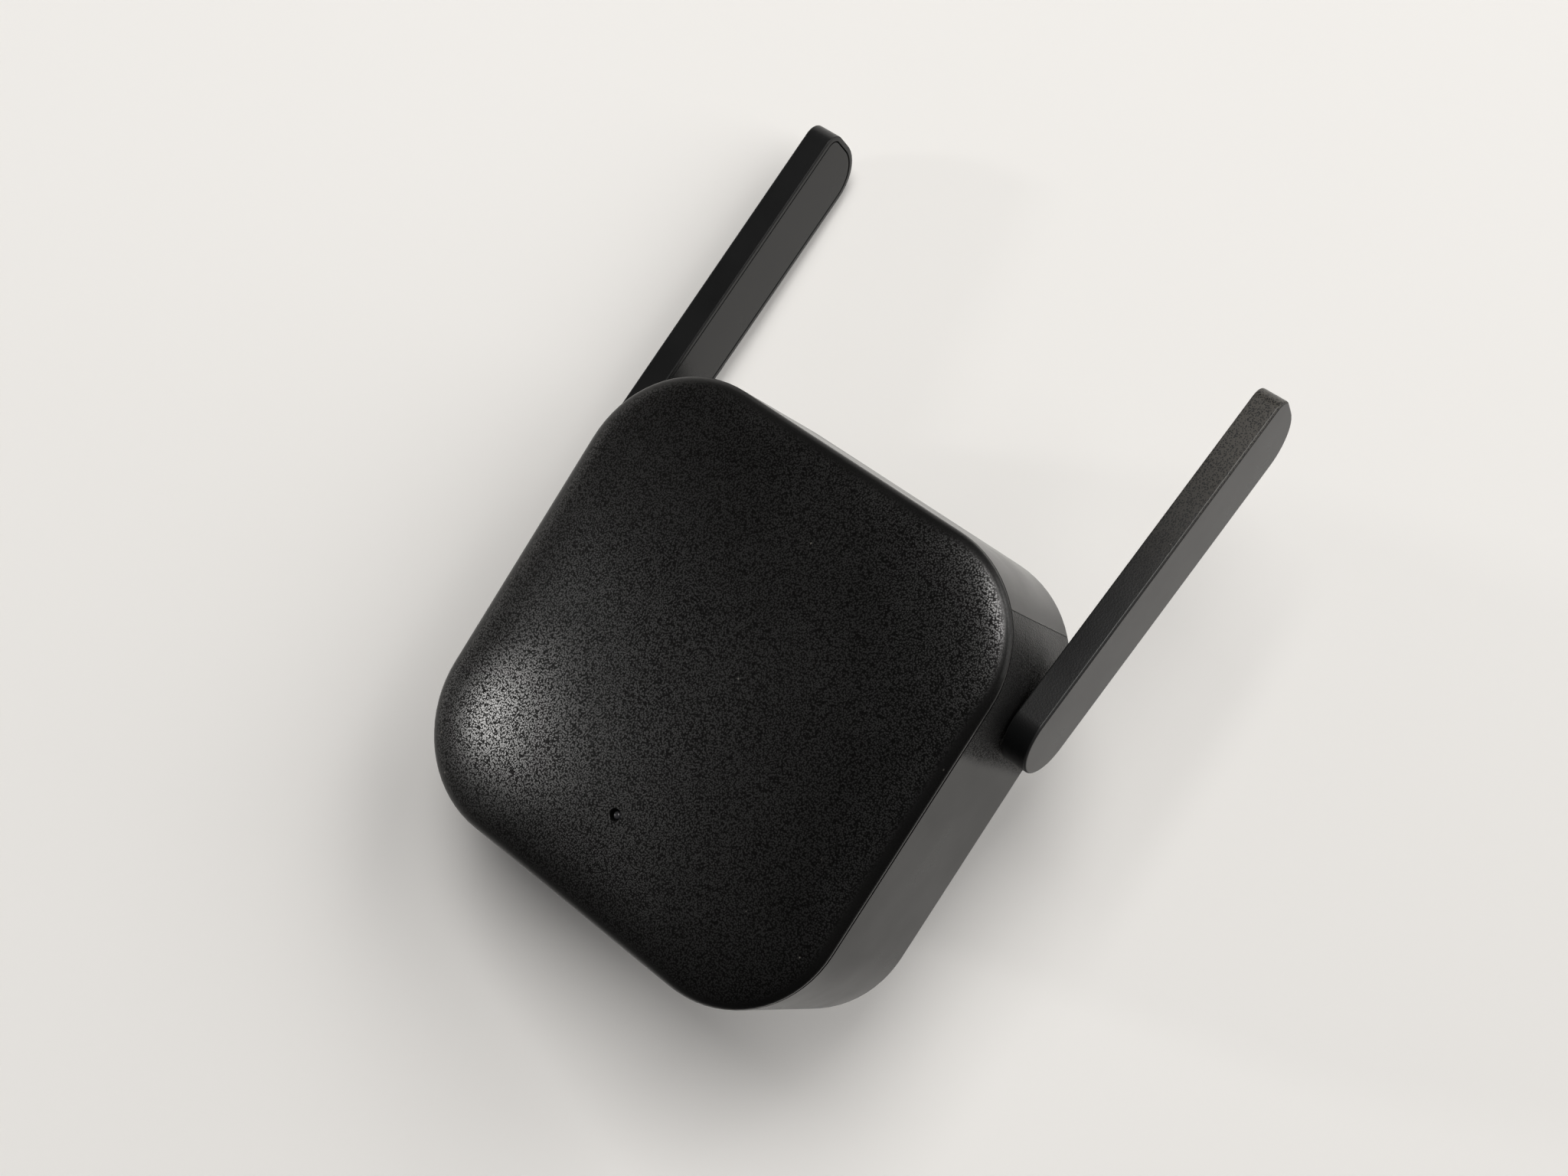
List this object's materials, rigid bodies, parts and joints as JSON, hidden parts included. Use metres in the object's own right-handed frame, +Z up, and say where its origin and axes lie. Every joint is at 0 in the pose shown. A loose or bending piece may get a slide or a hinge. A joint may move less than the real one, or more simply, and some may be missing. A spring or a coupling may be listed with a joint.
{
  "type": "wifi range extender",
  "caption": "Plug-in wifi range extender: rounded square body with a domed cover, flat mains plug behind and a flat swivelling antenna on each side.",
  "frame": {"origin": "middle of the plug boss on the rear, on the face that meets the wall socket, between the two blades", "axes": "+Z up as it is used in a wall socket, +Y into the wall along the plug blades, the domed cover faces -Y, +X is the side on the right when facing the cover"},
  "size_m": [0.0842, 0.0483, 0.1146],
  "materials": {
    "cover_plastic": "near-black, fine leather grain, low sheen",
    "housing_plastic": "near-black, satin, finely speckled on the side walls",
    "antenna_plastic": "near-black, satin",
    "inner_plastic": "plain moulded, off-white",
    "clear_plastic": "clear, polished",
    "led_body": "pale, glossy",
    "board_green": "green solder mask",
    "chip_black": "moulded epoxy",
    "ferrite": "dark grey ceramic",
    "winding_tape": "yellow tape",
    "capacitor_sleeve": "dark blue sleeve",
    "capacitor_blue": "blue lacquer",
    "plug_metal": "nickel-plated",
    "spring_metal": "bare sheet",
    "shield_metal": "tinned sheet",
    "screw_steel": "zinc-plated",
    "lead_jacket": "black jacket",
    "washer_nylon": "natural nylon"
  },
  "bodies": {
    "case": {"front_cover": "cover_plastic", "rear_housing": "housing_plastic", "antenna_left_washer": "washer_nylon", "antenna_left_lead": "lead_jacket", "antenna_left_socket": "plug_metal", "plug_blade_left": "plug_metal", "contact_spring_left": "spring_metal", "antenna_right_washer": "washer_nylon", "antenna_right_lead": "lead_jacket", "antenna_right_socket": "plug_metal", "plug_blade_right": "plug_metal", "contact_spring_right": "spring_metal", "blade_carrier": "inner_plastic", "power_board": "board_green", "main_board": "board_green", "main_board_screw_1": "screw_steel", "main_board_screw_2": "screw_steel", "main_board_screw_3": "screw_steel", "main_board_screw_4": "screw_steel", "power_board_screw_1": "screw_steel", "power_board_screw_2": "screw_steel", "board_link_header": "chip_black", "bridge_rectifier": "chip_black", "power_controller_chip": "chip_black", "wifi_chip": "chip_black", "memory_chip": "chip_black", "reset_switch": "chip_black", "transformer_core": "ferrite", "mains_choke": "ferrite", "transformer_winding": "winding_tape", "bulk_capacitor_1": "capacitor_sleeve", "bulk_capacitor_2": "capacitor_sleeve", "output_capacitor": "capacitor_sleeve", "safety_capacitor": "capacitor_blue", "fuse": "washer_nylon", "rf_shield": "shield_metal", "crystal": "shield_metal", "status_led": "led_body", "led_light_pipe": "clear_plastic"},
    "antenna_left": {"antenna_left_shell": "antenna_plastic", "antenna_left_lid": "antenna_plastic", "antenna_left_pivot": "antenna_plastic", "antenna_left_clip": "screw_steel", "antenna_left_radiator": "board_green"},
    "antenna_right": {"antenna_right_shell": "antenna_plastic", "antenna_right_lid": "antenna_plastic", "antenna_right_pivot": "antenna_plastic", "antenna_right_clip": "screw_steel", "antenna_right_radiator": "board_green"},
    "reset": {"reset_button": "washer_nylon"}
  },
  "joints": [
    {"name": "antenna_left_swivel", "type": "hinge", "parent": "case", "child": "antenna_left", "pos_m": [-0.03785, -0.0137, 0.02], "axis": [1, 0, 0], "range_deg": [-9.8, 185.2]},
    {"name": "antenna_right_swivel", "type": "hinge", "parent": "case", "child": "antenna_right", "pos_m": [0.03785, -0.0137, 0.02], "axis": [1, 0, 0], "range_deg": [-3.3, 191.7]},
    {"name": "reset_press", "type": "slide", "parent": "case", "child": "reset", "axis": [0, 0, 1], "range_m": [0, 0.0005], "stiffness_N_per_m": 300, "springref_m": -0.0005}
  ]
}
